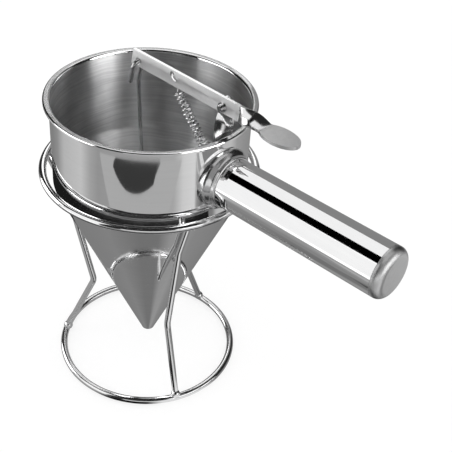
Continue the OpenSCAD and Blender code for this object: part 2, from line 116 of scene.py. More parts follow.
def spinOutline(bm, centre, axis, steps):
    # turns the whole outline once round an axis and closes it
    bmesh.ops.spin(bm, geom=bm.verts[:] + bm.edges[:], cent=Vector(centre), axis=Vector(axis),
                   angle=2 * pi, steps=steps, use_merge=True, use_duplicate=False)
    mergeAndTurn(bm, common["smallMerge"])


def outlineFromSteps(bm, start, steps, out=(1, 0, 0), up=(0, 0, 1), origin=(0, 0, 0)):
    # draws an outline in the plane of two directions, from steps that are either
    # ("line", a, b), to a point, or ("arc", a, b, degrees, count), round a centre
    out, up, origin = Vector(out), Vector(up), Vector(origin)
    normal = out.cross(up)
    inset = common["loopInset"]
    vert = bm.verts.new(origin + out * start[0] + up * start[1])
    for step in steps:
        point = origin + out * step[1] + up * step[2]
        if step[0] == "line":
            run = point - vert.co
            # a long straight gets a loop close to each end, so that its shading stays flat
            if run.length > 10 * inset:
                vert = penLine(bm, vert, vert.co + run.normalized() * inset)
                vert = penLine(bm, vert, point - run.normalized() * inset)
            vert = penLine(bm, vert, point)
        else:
            vert = penArc(bm, vert, point, normal, radians(step[3]), step[4])


def finishPiece(name, shape, body, nodes, materials):
    # makes the object, shades it smooth, ties it to its body and hides the nodes that it stands in for
    if isinstance(shape, bmesh.types.BMesh):
        mesh = meshFrom(name, shape)
        mesh.polygons.foreach_set("use_smooth", [True] * len(mesh.polygons))
        mesh.set_sharp_from_angle(angle=radians(common["sharpAngle"]))
    else:
        mesh = shape
        mesh.name = name
    obj = newObject(name, mesh)
    for material in materials:
        mesh.materials.append(material)
    if body:
        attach(obj, body)
    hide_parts(*nodes)
    return obj


def newGroup(name, inputs, outputs):
    group = bpy.data.node_groups.new(name, "ShaderNodeTree")
    for label, kind, value in inputs:
        socket = group.interface.new_socket(label, in_out="INPUT", socket_type=kind)
        if value is not None:
            socket.default_value = value
    for label, kind in outputs:
        group.interface.new_socket(label, in_out="OUTPUT", socket_type=kind)
    return group, group.nodes.new("NodeGroupInput"), group.nodes.new("NodeGroupOutput")


def mathNode(tree, operation, *values, clamp=False):
    # a Math node whose inputs are numbers or other nodes' outputs
    node = tree.nodes.new("ShaderNodeMath")
    node.operation = operation
    node.use_clamp = clamp
    for socket, value in zip(node.inputs, values):
        if isinstance(value, (int, float)):
            socket.default_value = value
        else:
            tree.links.new(value, socket)
    return node.outputs[0]


def noiseNode(tree, vector, scale, detail, roughness=0.5):
    node = tree.nodes.new("ShaderNodeTexNoise")
    for label, value in (("Scale", scale), ("Detail", detail), ("Roughness", roughness)):
        node.inputs[label].default_value = value
    tree.links.new(vector, node.inputs["Vector"])
    return node.outputs["Fac"]


polish = {
    "driftScale": 28.0, "driftDetail": 2.0,  # how the lines wander
    "lineDetail": 3.0, "lineRoughness": 0.6,
    "patchScale": 45.0, "patchDetail": 4.0, "patchRange": (0.3, 0.7),
    "contrast": 2.2, "bumpDepth": 0.05 * mm,
}


def buildGrain():
    # fine lines left by polishing or brushing, long along the grain and thin across it
    group, gin, gout = newGroup(
        "grainLines",
        [("Vector", "NodeSocketVector", None), ("Along", "NodeSocketFloat", 18.0),
         ("Across", "NodeSocketFloat", 900.0), ("Wave", "NodeSocketFloat", 0.0)],
        [("Lines", "NodeSocketFloat"), ("Patches", "NodeSocketFloat")])
    p = polish
    n, link = group.nodes, group.links.new
    place = gin.outputs["Vector"]
    parts = n.new("ShaderNodeSeparateXYZ")
    link(place, parts.inputs[0])
    drift = noiseNode(group, place, p["driftScale"], p["driftDetail"])
    shift = mathNode(group, "MULTIPLY", drift, gin.outputs["Wave"])
    height = mathNode(group, "ADD", parts.outputs["Z"], shift)
    joined = n.new("ShaderNodeCombineXYZ")
    link(mathNode(group, "MULTIPLY", parts.outputs["X"], gin.outputs["Along"]), joined.inputs["X"])
    link(mathNode(group, "MULTIPLY", parts.outputs["Y"], gin.outputs["Along"]), joined.inputs["Y"])
    link(mathNode(group, "MULTIPLY", height, gin.outputs["Across"]), joined.inputs["Z"])
    link(noiseNode(group, joined.outputs[0], 1.0, p["lineDetail"], p["lineRoughness"]), gout.inputs["Lines"])
    link(noiseNode(group, place, p["patchScale"], p["patchDetail"]), gout.inputs["Patches"])
    return group


grainLines = buildGrain()


def makeMetal(name, finish):
    # one metal: colour and roughness vary with the grain, and a fine bump follows it
    material = bpy.data.materials.new(name)
    material.use_nodes = True
    tree = material.node_tree
    n, link = tree.nodes, tree.links.new
    shader = n["Principled BSDF"]
    shader.inputs["Metallic"].default_value = 1.0
    shader.inputs["Anisotropic"].default_value = finish.get("anisotropic", 0.0)
    shader.inputs["Anisotropic Rotation"].default_value = finish.get("turn", 0.0)
    coords = n.new("ShaderNodeTexCoord")
    grain = n.new("ShaderNodeGroup")
    grain.node_tree = grainLines
    link(coords.outputs["Object"], grain.inputs["Vector"])
    grain.inputs["Along"].default_value = finish["along"]
    grain.inputs["Across"].default_value = finish["across"]
    grain.inputs["Wave"].default_value = finish.get("wave", 0.0)
    tone = n.new("ShaderNodeMix")
    tone.data_type = "RGBA"
    # a colour Mix node's factor, two colours and result are its inputs 0, 6 and 7 and its output 2
    tone.inputs[6].default_value = (*finish["dark"], 1)
    tone.inputs[7].default_value = (*finish["light"], 1)
    blend = mathNode(tree, "MULTIPLY", grain.outputs["Lines"], grain.outputs["Patches"])
    link(mathNode(tree, "MULTIPLY", blend, polish["contrast"], clamp=True), tone.inputs[0])
    link(tone.outputs[2], shader.inputs["Base Color"])
    rough = n.new("ShaderNodeMapRange")
    rough.inputs["From Min"].default_value, rough.inputs["From Max"].default_value = polish["patchRange"]
    rough.inputs["To Min"].default_value, rough.inputs["To Max"].default_value = finish["rough"]
    link(grain.outputs["Patches"], rough.inputs["Value"])
    link(rough.outputs["Result"], shader.inputs["Roughness"])
    bump = n.new("ShaderNodeBump")
    bump.inputs["Strength"].default_value = finish["bump"]
    bump.inputs["Distance"].default_value = polish["bumpDepth"]
    link(grain.outputs["Lines"], bump.inputs["Height"])
    link(bump.outputs["Normal"], shader.inputs["Normal"])
    if finish.get("radial"):
        tangent = n.new("ShaderNodeTangent")
        tangent.direction_type = "RADIAL"
        tangent.axis = finish["radial"]
        link(tangent.outputs[0], shader.inputs["Tangent"])
    return material


mirrorSteel = makeMetal("mirrorSteel", {
    "dark": (0.84, 0.84, 0.845), "light": (0.90, 0.90, 0.90), "rough": (0.03, 0.07),
    "along": 30.0, "across": 700.0, "bump": 0.01})
brushedSteel = makeMetal("brushedSteel", {
    "dark": (0.48, 0.48, 0.485), "light": (0.95, 0.95, 0.95), "rough": (0.28, 0.32),
    "along": 16.0, "across": 700.0, "wave": 0.006, "bump": 0.05,
    "anisotropic": 0.97, "turn": 0.25, "radial": "Z"})
satinSteel = makeMetal("satinSteel", {
    "dark": (0.70, 0.70, 0.705), "light": (0.80, 0.80, 0.80), "rough": (0.30, 0.38),
    "along": 400.0, "across": 420.0, "bump": 0.05})
leverSteel = makeMetal("leverSteel", {
    "dark": (0.86, 0.86, 0.865), "light": (0.96, 0.96, 0.96), "rough": (0.50, 0.56),
    "along": 12.0, "across": 700.0, "bump": 0.04,
    "anisotropic": 0.6, "turn": 0.25, "radial": "Y"})
softSteel = makeMetal("softSteel", {
    "dark": (0.74, 0.74, 0.745), "light": (0.84, 0.84, 0.84), "rough": (0.15, 0.20),
    "along": 60.0, "across": 600.0, "bump": 0.02})
rodSteel = makeMetal("rodSteel", {
    "dark": (0.40, 0.40, 0.405), "light": (0.66, 0.66, 0.66), "rough": (0.08, 0.14),
    "along": 60.0, "across": 300.0, "bump": 0.02})
chromeWire = makeMetal("chromeWire", {
    "dark": (0.80, 0.80, 0.81), "light": (0.90, 0.90, 0.90), "rough": (0.08, 0.12),
    "along": 60.0, "across": 300.0, "bump": 0.01})
hardwareSteel = makeMetal("hardwareSteel", {
    "dark": (0.60, 0.60, 0.61), "light": (0.80, 0.80, 0.80), "rough": (0.12, 0.22),
    "along": 300.0, "across": 500.0, "bump": 0.04})
print("materials built")

cup = {
    "wallRadius": 56.8 * mm, "sheet": 0.8 * mm, "wallHeight": 52.64 * mm, "lipWidth": 3.2 * mm,
    "lipDrop": 1.7 * mm, "lipBend": 0.8 * mm, "lipEdge": 0.8 * mm, "shoulder": 6.0 * mm,
    "halfAngle": 23.45, "mouthRadius": 3.0 * mm, "outletZ": 14.1 * mm, "mouthEdge": 0.5 * mm,
    "brushedFrom": 1.6 * mm,  # how far below the rim the brushed inside begins
    "steps": 240,
}
coneHalf = radians(cup["halfAngle"])
boreRadius = cup["wallRadius"] - cup["sheet"]
mouthOut = cup["mouthRadius"] + cup["sheet"] / cos(coneHalf)
shoulderX = cup["wallRadius"] - cup["shoulder"]
shoulderZ = cup["outletZ"] + (shoulderX + cup["shoulder"] / cos(coneHalf) - mouthOut) / tan(coneHalf)
rimZ = shoulderZ + cup["wallHeight"]


def buildCup():
    c = cup
    bm = bmesh.new()
    mouthRun = c["mouthEdge"] * tan(pi / 4 - coneHalf / 2)
    bendX, bendZ = c["wallRadius"] + c["lipBend"], rimZ - c["sheet"] - c["lipBend"]
    lipOut, lipLow = c["wallRadius"] + c["lipWidth"], rimZ - c["lipDrop"]
    # from the mouth up the outside, over the lip and down the inside
    outlineFromSteps(bm, (c["mouthRadius"], c["outletZ"]), [
        ("line", mouthOut - mouthRun, c["outletZ"]),
        ("arc", mouthOut - mouthRun, c["outletZ"] + c["mouthEdge"], 90 - c["halfAngle"], 4),
        ("line", shoulderX + c["shoulder"] * cos(coneHalf), shoulderZ - c["shoulder"] * sin(coneHalf)),
        ("arc", shoulderX, shoulderZ, c["halfAngle"], 10),
        ("line", c["wallRadius"], bendZ),
        ("arc", bendX, bendZ, -90, 8),
        ("line", lipOut - c["sheet"], rimZ - c["sheet"]),
        ("line", lipOut - c["sheet"], lipLow),
        ("line", lipOut, lipLow),
        ("line", lipOut, rimZ - c["lipEdge"]),
        ("arc", lipOut - c["lipEdge"], rimZ - c["lipEdge"], 90, 8),
        ("line", bendX, rimZ),
        ("arc", bendX, bendZ, 90, 10),
        ("line", boreRadius, shoulderZ),
        ("arc", shoulderX, shoulderZ, -c["halfAngle"], 10),
        ("line", c["mouthRadius"], c["outletZ"]),
    ])
    spinOutline(bm, (0, 0, 0), (0, 0, 1), c["steps"])
    # the inside is brushed, the outside polished
    for face in bm.faces:
        mid = face.calc_center_median()
        if mid.z < rimZ - c["brushedFrom"] and face.normal.x * mid.x + face.normal.y * mid.y < 0:
            face.material_index = 1
    return bm


cupPiece = finishPiece("cupShell", buildCup(), "cup", ["funnel"],
                       [mirrorSteel, brushedSteel])
print("funnel built")


def wireRing(radius, wireRadius, height, sides=28, steps=200):
    bm = bmesh.new()
    turn = Matrix.Rotation(pi / 2, 4, "X")
    turn.translation = Vector((radius, 0, height))
    bmesh.ops.create_circle(bm, segments=sides, radius=wireRadius, matrix=turn)
    spinOutline(bm, (0, 0, 0), (0, 0, 1), steps)
    return bm


class WireBender:
    # feeds a round wire forward and bends it, as a bending machine does
    def __init__(self, start, heading, radius, sides):
        self.bm = bmesh.new()
        self.place, self.heading = Vector(start), Vector(heading).normalized()
        turn = aimed(self.place, self.heading)
        bmesh.ops.create_circle(self.bm, segments=sides, radius=radius, matrix=turn)
        self.ring = self.bm.verts[:] + self.bm.edges[:]

    def feed(self, length):
        edges = [g for g in self.ring if isinstance(g, bmesh.types.BMEdge)]
        new = bmesh.ops.extrude_edge_only(self.bm, edges=edges)["geom"]
        verts = [g for g in new if isinstance(g, bmesh.types.BMVert)]
        ends = [g for g in new if isinstance(g, bmesh.types.BMEdge) and all(v in verts for v in g.verts)]
        self.ring = verts + ends
        bmesh.ops.translate(self.bm, verts=verts, vec=self.heading * length)
        self.place = self.place + self.heading * length

    def bend(self, centre, axis, angle, steps):
        out = bmesh.ops.spin(self.bm, geom=self.ring, cent=Vector(centre), axis=Vector(axis), angle=angle,
                             steps=steps, use_merge=False, use_duplicate=False)
        self.ring = out["geom_last"]
        turn = Matrix.Rotation(angle, 3, Vector(axis))
        self.heading = turn @ self.heading
        self.place = Vector(centre) + turn @ (self.place - Vector(centre))

    def close(self):
        bmesh.ops.holes_fill(self.bm, edges=[e for e in self.bm.edges if len(e.link_faces) == 1])
        bmesh.ops.recalc_face_normals(self.bm, faces=self.bm.faces[:])
        return self.bm


def wireThrough(points, radius, bendRadius, steps=12, sides=24):
    # a wire with round bends at the inner points of a flat path
    points = [Vector(p) for p in points]
    heads = [(b - a).normalized() for a, b in zip(points, points[1:])]
    wire = WireBender(points[0], heads[0], radius, sides)
    used = 0.0
    for index, (head, ahead) in enumerate(zip(heads, heads[1:])):
        angle = head.angle(ahead)
        cut = bendRadius * tan(angle / 2)
        wire.feed((points[index + 1] - points[index]).length - used - cut)
        axis = head.cross(ahead).normalized()
        wire.bend(wire.place + axis.cross(head) * bendRadius, axis, angle, steps)
        used = cut
    wire.feed((points[-1] - points[-2]).length - used)
    return wire.close()


def coneRadius(z):
    # the outside of the cone at a height
    return mouthOut + (z - cup["outletZ"]) * tan(coneHalf)


stand = {
    "ringWire": 2.2 * mm, "legWire": 2.0 * mm, "baseRadius": 56.2 * mm, "kneeRadius": 36.3 * mm,
    "kneeZ": 48.5 * mm, "bend": 9.0 * mm, "firstLeg": -25.0, "legs": 3, "weld": 3.0 * mm,
    "ringRise": 6.04 * mm,  # the top ring above the cone's bend
    "follow": 26.4 * mm,  # how far below the top ring the legs follow the cone
}
topRingZ = shoulderZ + stand["ringRise"]
legOff = (stand["legWire"] + common["gap"]) / cos(coneHalf)
topRingRadius = coneRadius(topRingZ) + legOff
baseRing = wireRing(stand["baseRadius"], stand["ringWire"], stand["ringWire"])
topRing = wireRing(topRingRadius, stand["ringWire"], topRingZ)
finishPiece("ringTop", topRing, "stand", ["top_ring"], [chromeWire])
finishPiece("ringBase", baseRing, "stand", ["base_ring"], [chromeWire])


def buildLeg(azimuth):
    s = stand
    bendZ = topRingZ - s["follow"]
    path = [(s["baseRadius"], 0, s["ringWire"]), (s["kneeRadius"], 0, s["kneeZ"]),
            (coneRadius(bendZ) + legOff, 0, bendZ), (topRingRadius, 0, topRingZ)]
    bm = wireThrough(path, s["legWire"], s["bend"])
    bead = bmesh.ops.create_uvsphere(bm, u_segments=24, v_segments=16, radius=s["weld"])["verts"]
    up = (Vector(path[1]) - Vector(path[0])).normalized()
    bmesh.ops.translate(bm, verts=bead, vec=Vector(path[0]) + up * s["ringWire"])
    bmesh.ops.rotate(bm, verts=bm.verts[:], cent=(0, 0, 0), matrix=Matrix.Rotation(azimuth, 3, "Z"))
    return bm


for index in range(stand["legs"]):
    leg = buildLeg(radians(stand["firstLeg"] + index * 360 / stand["legs"]))
    number = index + 1
    finishPiece("legWire%d" % number, leg, "stand", ["leg_%d" % number], [chromeWire])
print("stand built")

grip = {
    "radius": 14.3 * mm, "tubeWall": 1.0 * mm, "length": 111.8 * mm,
    "drop": 26.9 * mm,  # the handle's axis below the rim
    "neck": 0.3 * mm,  # how much the tube narrows in the collar
    "capLen": 5.6 * mm, "capRadius": 4.5 * mm, "capWall": 1.2 * mm, "capEdge": 0.2 * mm, "spigot": 8.0 * mm,
    "flange": 18.0 * mm, "collarLen": 6.6 * mm, "collarSeat": 2.6 * mm, "collarSheet": 1.2 * mm,
    "skirt": 5.0 * mm, "flangeRise": 0.8 * mm,  # the flange's edge reaches this far in and out of the wall
    "ease": 0.3 * mm, "sweepSteps": 12, "innerEase": 0.6 * mm, "innerStep": 1.0 * mm,
    "bead": 0.9 * mm, "beadFrom": 1.6 * mm, "beadBend": 0.7 * mm, "beadLip": 0.1 * mm,
    "screwHole": 2.65 * mm, "steps": 160,
}
gripZ = rimZ - grip["drop"]
seatRadius = grip["radius"] - grip["neck"]
tubeInner = grip["radius"] - grip["tubeWall"]
collarEnd = cup["wallRadius"] + grip["collarLen"]
tubeStart = collarEnd - grip["collarSeat"]
capFace = cup["wallRadius"] + grip["length"]
tubeEnd = capFace - grip["capLen"]


def turnedOnHandle(start, steps):
    # a shape turned round the handle's axis, from its outline in radius and x
    bm = bmesh.new()
    outlineFromSteps(bm, start, steps, out=(0, 0, 1), up=(1, 0, 0), origin=(0, 0, gripZ))
    spinOutline(bm, (0, 0, gripZ), (1, 0, 0), grip["steps"])
    return bm


def buildTube():
    radius = grip["radius"]
    return turnedOnHandle((tubeInner, tubeStart), [
        ("line", seatRadius, tubeStart), ("line", seatRadius, collarEnd), ("line", radius, collarEnd),
        ("line", radius, tubeEnd), ("line", tubeInner, tubeEnd), ("line", tubeInner, tubeStart),
    ])


def buildCap():
    g = grip
    cornerX, cornerR = capFace - g["capRadius"], g["radius"] - g["capRadius"]
    spigotEnd, spigotBore = tubeEnd - g["spigot"], tubeInner - g["capWall"]
    return turnedOnHandle((tubeInner, spigotEnd), [
        ("line", tubeInner, tubeEnd), ("line", g["radius"] - g["capEdge"], tubeEnd),
        ("line", g["radius"], tubeEnd + g["capEdge"]), ("line", g["radius"], cornerX),
        ("arc", cornerR, cornerX, 90, 14),
        ("line", 0.0, capFace), ("line", 0.0, capFace - g["capWall"]),
        ("line", cornerR, capFace - g["capWall"]), ("line", spigotBore, cornerX),
        ("line", spigotBore, spigotEnd), ("line", tubeInner, spigotEnd),
    ])


def buildCollar():
    g = grip
    beadTop = g["radius"] + g["bead"]
    skirtX, flangeX = cup["wallRadius"] - g["skirt"], cup["wallRadius"] + g["flangeRise"]
    beadX = collarEnd - g["beadBend"] - g["beadLip"]
    steps = [("line", g["flange"], flangeX)]
    # a dished sweep from the flange up to the bead
    for i in range(1, g["sweepSteps"] + 1):
        t = i / g["sweepSteps"]
        steps.append(("line", mixed(g["flange"] - g["ease"], beadTop + g["ease"], smoothStep(t)),
                      mixed(flangeX + g["ease"], collarEnd - g["beadFrom"], t)))
    steps += [
        ("line", beadTop, beadX), ("arc", beadTop - g["beadBend"], beadX, 90, 8),
        ("line", seatRadius, collarEnd - g["beadLip"]), ("line", seatRadius, tubeStart),
        ("line", g["screwHole"], tubeStart), ("line", g["screwHole"], tubeStart - g["collarSheet"]),
        ("line", g["radius"] - g["innerStep"], tubeStart - g["collarSheet"]),
        ("line", g["flange"] - g["collarSheet"] - g["innerEase"], flangeX - g["innerEase"]),
        ("line", g["flange"] - g["collarSheet"], skirtX), ("line", g["flange"], skirtX),
    ]
    return turnedOnHandle((g["flange"], skirtX), steps)


finishPiece("gripTube", buildTube(), "cup", ["handle_tube"], [mirrorSteel])
finishPiece("gripCap", buildCap(), "cup", ["handle_end_cap"], [satinSteel])
finishPiece("gripCollar", buildCollar(), "cup", ["handle_collar"], [softSteel])
print("handle built")

strip = {"edge": 0.25 * mm, "edgeSegments": 3, "edgeAngle": 40, "drillDepth": 12 * mm, "drillSides": 48}


def stripPiece(bm, thickness, holes):
    # gives a sheet its thickness and soft edges, and drills it; holes are (place, axis, radius)
    mesh = meshFrom("strip", bm)
    obj = newObject("strip", mesh)
    wall = obj.modifiers.new("wall", "SOLIDIFY")
    wall.thickness, wall.offset = thickness, 0.0
    drills = []
    for place, axis, radius in holes:
        bm = bmesh.new()
        bmesh.ops.create_cone(bm, cap_ends=True, segments=strip["drillSides"], radius1=radius,
                              radius2=radius, depth=strip["drillDepth"], matrix=aimed(place, axis))
        drills.append(newObject("drill", meshFrom("drill", bm)))
        cut = obj.modifiers.new("cut", "BOOLEAN")
        cut.operation, cut.solver, cut.object = "DIFFERENCE", "EXACT", drills[-1]
    soft = obj.modifiers.new("edges", "BEVEL")
    soft.width, soft.segments = strip["edge"], strip["edgeSegments"]
    soft.limit_method, soft.angle_limit = "ANGLE", radians(strip["edgeAngle"])
    soft.harden_normals = True
    mesh.polygons.foreach_set("use_smooth", [True] * len(mesh.polygons))
    done = appliedMesh(obj)
    for old in [obj] + drills:
        bpy.data.objects.remove(old)
    return done


lever = {
    "height": 9.2 * mm, "sheet": 1.8 * mm, "slope": 1.5,
    "pivotInset": 2.8 * mm, "pivotRise": 16.2 * mm,  # the pivot inside the wall and above the rim
    "offset": 1.05 * mm,  # the strip's middle above the pivot
    "rodPastAxis": 10.0 * mm, "rodRise": -1.35 * mm, "rodHole": 2.1 * mm,
    "tipLen": 5.0 * mm, "tipSlant": 0.8 * mm,  # the strip beyond the rod's hole, and its slanted end
    "springReach": 37.2 * mm, "springRise": 2.1 * mm, "springHole": 1.5 * mm, "pinHole": 2.06 * mm,
    "twistStart": 8.0 * mm, "twistEnd": 30.0 * mm,
    # of the twist's length: how soon its low edge is over, and how long its high edge and its sinking wait
    "lowShare": 0.85, "highWait": 0.18, "sinkWait": 0.4,
    "padLen": 24.6 * mm, "padWidth": 15.0 * mm, "padReach": 37.7 * mm,
    "padStart": 29.0 * mm, "brushEnd": 11.5 * mm,  # where the satin pad begins and the brushed arm ends
    "topFacing": 0.7,  # a face that looks up more than this belongs to the top edge
    "columns": 96, "rows": 12, "armShare": 0.2, "tipShare": 0.25,  # the grid, and its shares in arm and pad
}
pivotX, pivotZ = boreRadius - lever["pivotInset"], rimZ + lever["pivotRise"]
rodReach = pivotX + lever["rodPastAxis"]


def leverPlace(u, y, h):
    # a point given along the lever, across it and above its pivot
    a = radians(lever["slope"])
    return Vector((pivotX + u * cos(a) + h * sin(a), y, pivotZ - u * sin(a) + h * cos(a)))


rodAt = leverPlace(-rodReach, 0, lever["offset"] + lever["rodRise"])
springAt = leverPlace(-lever["springReach"], 0, lever["offset"] + lever["springRise"])


def padHalf(u):
    # half the strip's width, which swells into the oval pad
    c = lever
    q = (u - c["padReach"]) / (c["padLen"] / 2)
    oval = c["padWidth"] / 2 * sqrt(max(0.0, 1 - q * q))
    return max(c["height"] / 2, oval) if u < c["padReach"] else oval


def twistShare(u, wait, share):
    # how far something has come that waits and then takes a share of the twist's length
    span = lever["twistEnd"] - lever["twistStart"]
    return smoothStep((u - lever["twistStart"] - span * wait) / (span * share))


def buildLever():
    c = lever
    bm = bmesh.new()
    bmesh.ops.create_grid(bm, x_segments=c["columns"], y_segments=c["rows"], size=1.0)
    tip = rodReach + c["tipLen"]
    tipFrom = 1 - c["tipShare"]
    for v in bm.verts:
        t, w = (v.co.x + 1) / 2, v.co.y
        if t < c["armShare"]:
            # the flat arm, with its slanted end
            u = mixed(-tip + c["tipSlant"] * w, c["twistStart"], t / c["armShare"])
        elif t < tipFrom:
            u = mixed(c["twistStart"], c["padReach"], (t - c["armShare"]) / (tipFrom - c["armShare"]))
        else:
            u = c["padReach"] + c["padLen"] / 2 * sin(pi / 2 * (t - tipFrom) / c["tipShare"])
        # the low edge swings to the near side before the high edge swings away
        low = pi / 2 * twistShare(u, 0, c["lowShare"])
        high = pi / 2 * twistShare(u, c["highWait"], 1 - c["highWait"])
        sink = -c["offset"] * twistShare(u, c["sinkWait"], 1 - c["sinkWait"])
        r = padHalf(u)
        near = Vector((-r * sin(low), -r * cos(low) + sink))
        far = Vector((r * sin(high), r * cos(high) + sink))
        at = near.lerp(far, (w + 1) / 2)
        v.co = leverPlace(u, at.x, c["offset"] + at.y)
    mergeAndTurn(bm, common["stripMerge"])
    across = (0, 1, 0)
    mesh = stripPiece(bm, c["sheet"], [
        (leverPlace(0, 0, 0), across, c["pinHole"]), (rodAt, across, c["rodHole"]),
        (springAt, across, c["springHole"]),
    ])
    # the arm is brushed with a polished top edge, the twist polished and the pad satin
    for face in mesh.polygons:
        u = face.center.x - pivotX
        topEdge = face.normal.z > c["topFacing"] and u < c["twistStart"]
        face.material_index = 2 if u > c["padStart"] else 1 if u > c["brushEnd"] or topEdge else 0
    return mesh


bracket = {
    "width": 10.0 * mm, "sheet": 1.6 * mm, "spacer": 0.55 * mm, "pinHole": 2.0 * mm,
    "footDrop": 10.0 * mm,  # the foot's end below the handle's axis
    "footRise": 13.0 * mm, "flatten": 4.0 * mm,  # where the foot leaves the wall, once it has turned flat
    "footSlack": 0.02 * mm, "slack": 0.05 * mm,  # between the wall and the foot, curved and flat
    "twistBelow": 5.0 * mm, "twistAbove": 11.0 * mm,  # the twist's ends, below and above the rim
    "columns": 90, "rows": 10, "endShare": 0.1,  # the grid, and its share in each round end
}


def buildBracket():
    c = bracket
    bm = bmesh.new()
    bmesh.ops.create_grid(bm, x_segments=c["columns"], y_segments=c["rows"], size=1.0)
    half, end = c["width"] / 2, c["endShare"]
    bottom, footTop = gripZ - c["footDrop"], gripZ + c["footRise"]
    twistLow, twistHigh = rimZ - c["twistBelow"], rimZ + c["twistAbove"]
    startX = sqrt(boreRadius ** 2 - half ** 2) - c["sheet"] / 2 - c["slack"]
    footRadius = boreRadius - c["sheet"] / 2 - c["footSlack"]
    earMiddle = lever["sheet"] / 2 + common["sideClear"] + c["spacer"] + c["sheet"] / 2
    for v in bm.verts:
        t, w = (v.co.x + 1) / 2, v.co.y
        # both ends are round
        if t < end:
            z = bottom + half * (1 - cos(pi / 2 * t / end))
            w = w * sin(pi / 2 * t / end)
        elif t < 1 - end:
            z = mixed(bottom + half, pivotZ, (t - end) / (1 - 2 * end))
        else:
            z = pivotZ + half * sin(pi / 2 * (t - 1 + end) / end)
            w = w * cos(pi / 2 * (t - 1 + end) / end)
        lean = smoothStep((z - footTop) / (twistLow - footTop))
        turn = smoothStep((z - twistLow) / (twistHigh - twistLow))
        flat = smoothStep((z - footTop + c["flatten"]) / c["flatten"])
        y = w * half
        x = mixed(mixed(sqrt(footRadius ** 2 - y * y), startX, flat), pivotX, lean)
        angle = pi / 2 * turn
        v.co = Vector((x + y * sin(angle), earMiddle * turn + y * cos(angle), z))
    mergeAndTurn(bm, common["stripMerge"])
    return stripPiece(bm, c["sheet"], [
        ((startX, 0, gripZ), (1, 0, 0), grip["screwHole"]),
        ((pivotX, earMiddle, pivotZ), (0, 1, 0), c["pinHole"]),
    ])


leverPiece = finishPiece("leverArm", buildLever(), "lever", ["lever"],
                         [leverSteel, softSteel, satinSteel])
leverPiece.visible_glossy = False  # the other pieces don't mirror it
finishPiece("pivotStrip", buildBracket(), "cup", ["pivot_bracket"], [softSteel])
print("lever and bracket built")

plunger = {
    "wire": 1.2 * mm, "hook": 3.3 * mm, "lean": 13.8, "drop": 14.2 * mm, "leg": 10.0 * mm, "rise": 0.25 * mm,
    "sideRoom": 0.1 * mm,  # beyond the usual gap beside the lever
    "bend": 4.0 * mm, "ballRadius": 5.0 * mm, "height": 11.0 * mm, "socket": 4.0 * mm,
    "neckWall": 1.4 * mm, "taper": (4.0 * mm, 1.0 * mm),  # where the stopper's taper runs, below its top
    "sides": 20, "hookSteps": 24, "bendSteps": 8, "steps": 72,
}
rodY = lever["sheet"] / 2 + common["gap"] + plunger["sideRoom"] + plunger["wire"]
ballHold = (plunger["ballRadius"] + common["gap"]) / cos(coneHalf) - cup["mouthRadius"]
ballAt = Vector((0, 0, cup["outletZ"] + ballHold / tan(coneHalf)))


def buildRod():
    # from the hook's free end, over the lever, down to the bend and on to the stopper
    c = plunger
    lean = radians(c["lean"])
    up, across = Vector((sin(lean), 0, cos(lean))), Vector((cos(lean), 0, -sin(lean)))
    side = Vector((0, 1, 0))
    arch = c["rise"] - c["hook"]
    start = rodAt + side * (rodY - 2 * c["hook"]) + up * (arch - c["leg"])
    wire = WireBender(start, up, c["wire"], c["sides"])
    wire.feed(c["leg"])
    wire.bend(rodAt + side * (rodY - c["hook"]) + up * arch, -across, pi, c["hookSteps"])
    corner = rodAt + side * rodY - up * c["drop"]
    ahead = (ballAt - corner).normalized()
    angle = wire.heading.angle(ahead)
    wire.feed((corner - wire.place).length - c["bend"] * tan(angle / 2))
    axis = wire.heading.cross(ahead).normalized()
    wire.bend(wire.place + axis.cross(wire.heading) * c["bend"], axis, angle, c["bendSteps"])
    wire.feed((ballAt - wire.place).length - c["socket"])
    return wire.close(), ahead


def buildStopper(ahead):
    c = plunger
    bm = bmesh.new()
    up, neck = -ahead, c["wire"] + c["neckWall"]
    taperLow, taperHigh = (c["height"] - below for below in c["taper"])
    outlineFromSteps(bm, (0.0, -c["ballRadius"]), [
        ("arc", 0.0, 0.0, 90, 24), ("line", c["ballRadius"], taperLow), ("line", neck, taperHigh),
        ("line", neck, c["height"]), ("line", c["wire"], c["height"]), ("line", c["wire"], c["socket"]),
        ("line", 0.0, c["socket"]),
    ], out=up.orthogonal().normalized(), up=up, origin=ballAt)
    spinOutline(bm, ballAt, up, c["steps"])
    return bm


rodMesh, rodAhead = buildRod()
finishPiece("plungerWire", rodMesh, "plunger", ["plunger_rod"], [rodSteel])
finishPiece("stopperPlug", buildStopper(rodAhead), "plunger", ["stopper"], [satinSteel])

spring = {
    "wire": 0.45 * mm, "coil": 2.65 * mm, "turns": 16.25, "perTurn": 24,
    "screwRadius": 2.5 * mm, "screwHead": 4.5 * mm, "washerRadius": 5.0 * mm, "washer": 0.8 * mm,
    "eyeRoom": 0.1 * mm, "headRoom": 0.3 * mm,  # between the eye and the screw, and over the screw's head
    "coilBack": 4.5 * mm, "coilBelow": 0.6 * mm,  # where the coil begins, from the spring's hole
    "coilShort": 5.0 * mm,  # how far from the screw's head the coil ends
    # the hook through the lever: its tip, and the pulls that round its leads
    "tipBack": 3.9 * mm, "tipDrop": 2.7 * mm, "tipPull": (-2.6 * mm, -0.4 * mm, 0.2 * mm),
    "holePull": (0, 3.0 * mm, 0), "coilPull": (0, 4.2 * mm, 1.0 * mm), "endPull": 3.5 * mm,
    "eyePull": (0, 0, 4.5 * mm), "leadSteps": 14, "holeSteps": 16,
    "eyeTurn": (180, 400), "eyeStep": 10,  # the eye round the screw, in degrees
}
footInner = boreRadius - bracket["sheet"]
washerX = sqrt(footInner ** 2 - spring["washerRadius"] ** 2) - spring["washer"]
eyeAt = Vector((washerX - spring["wire"] - common["sideClear"], 0, gripZ))


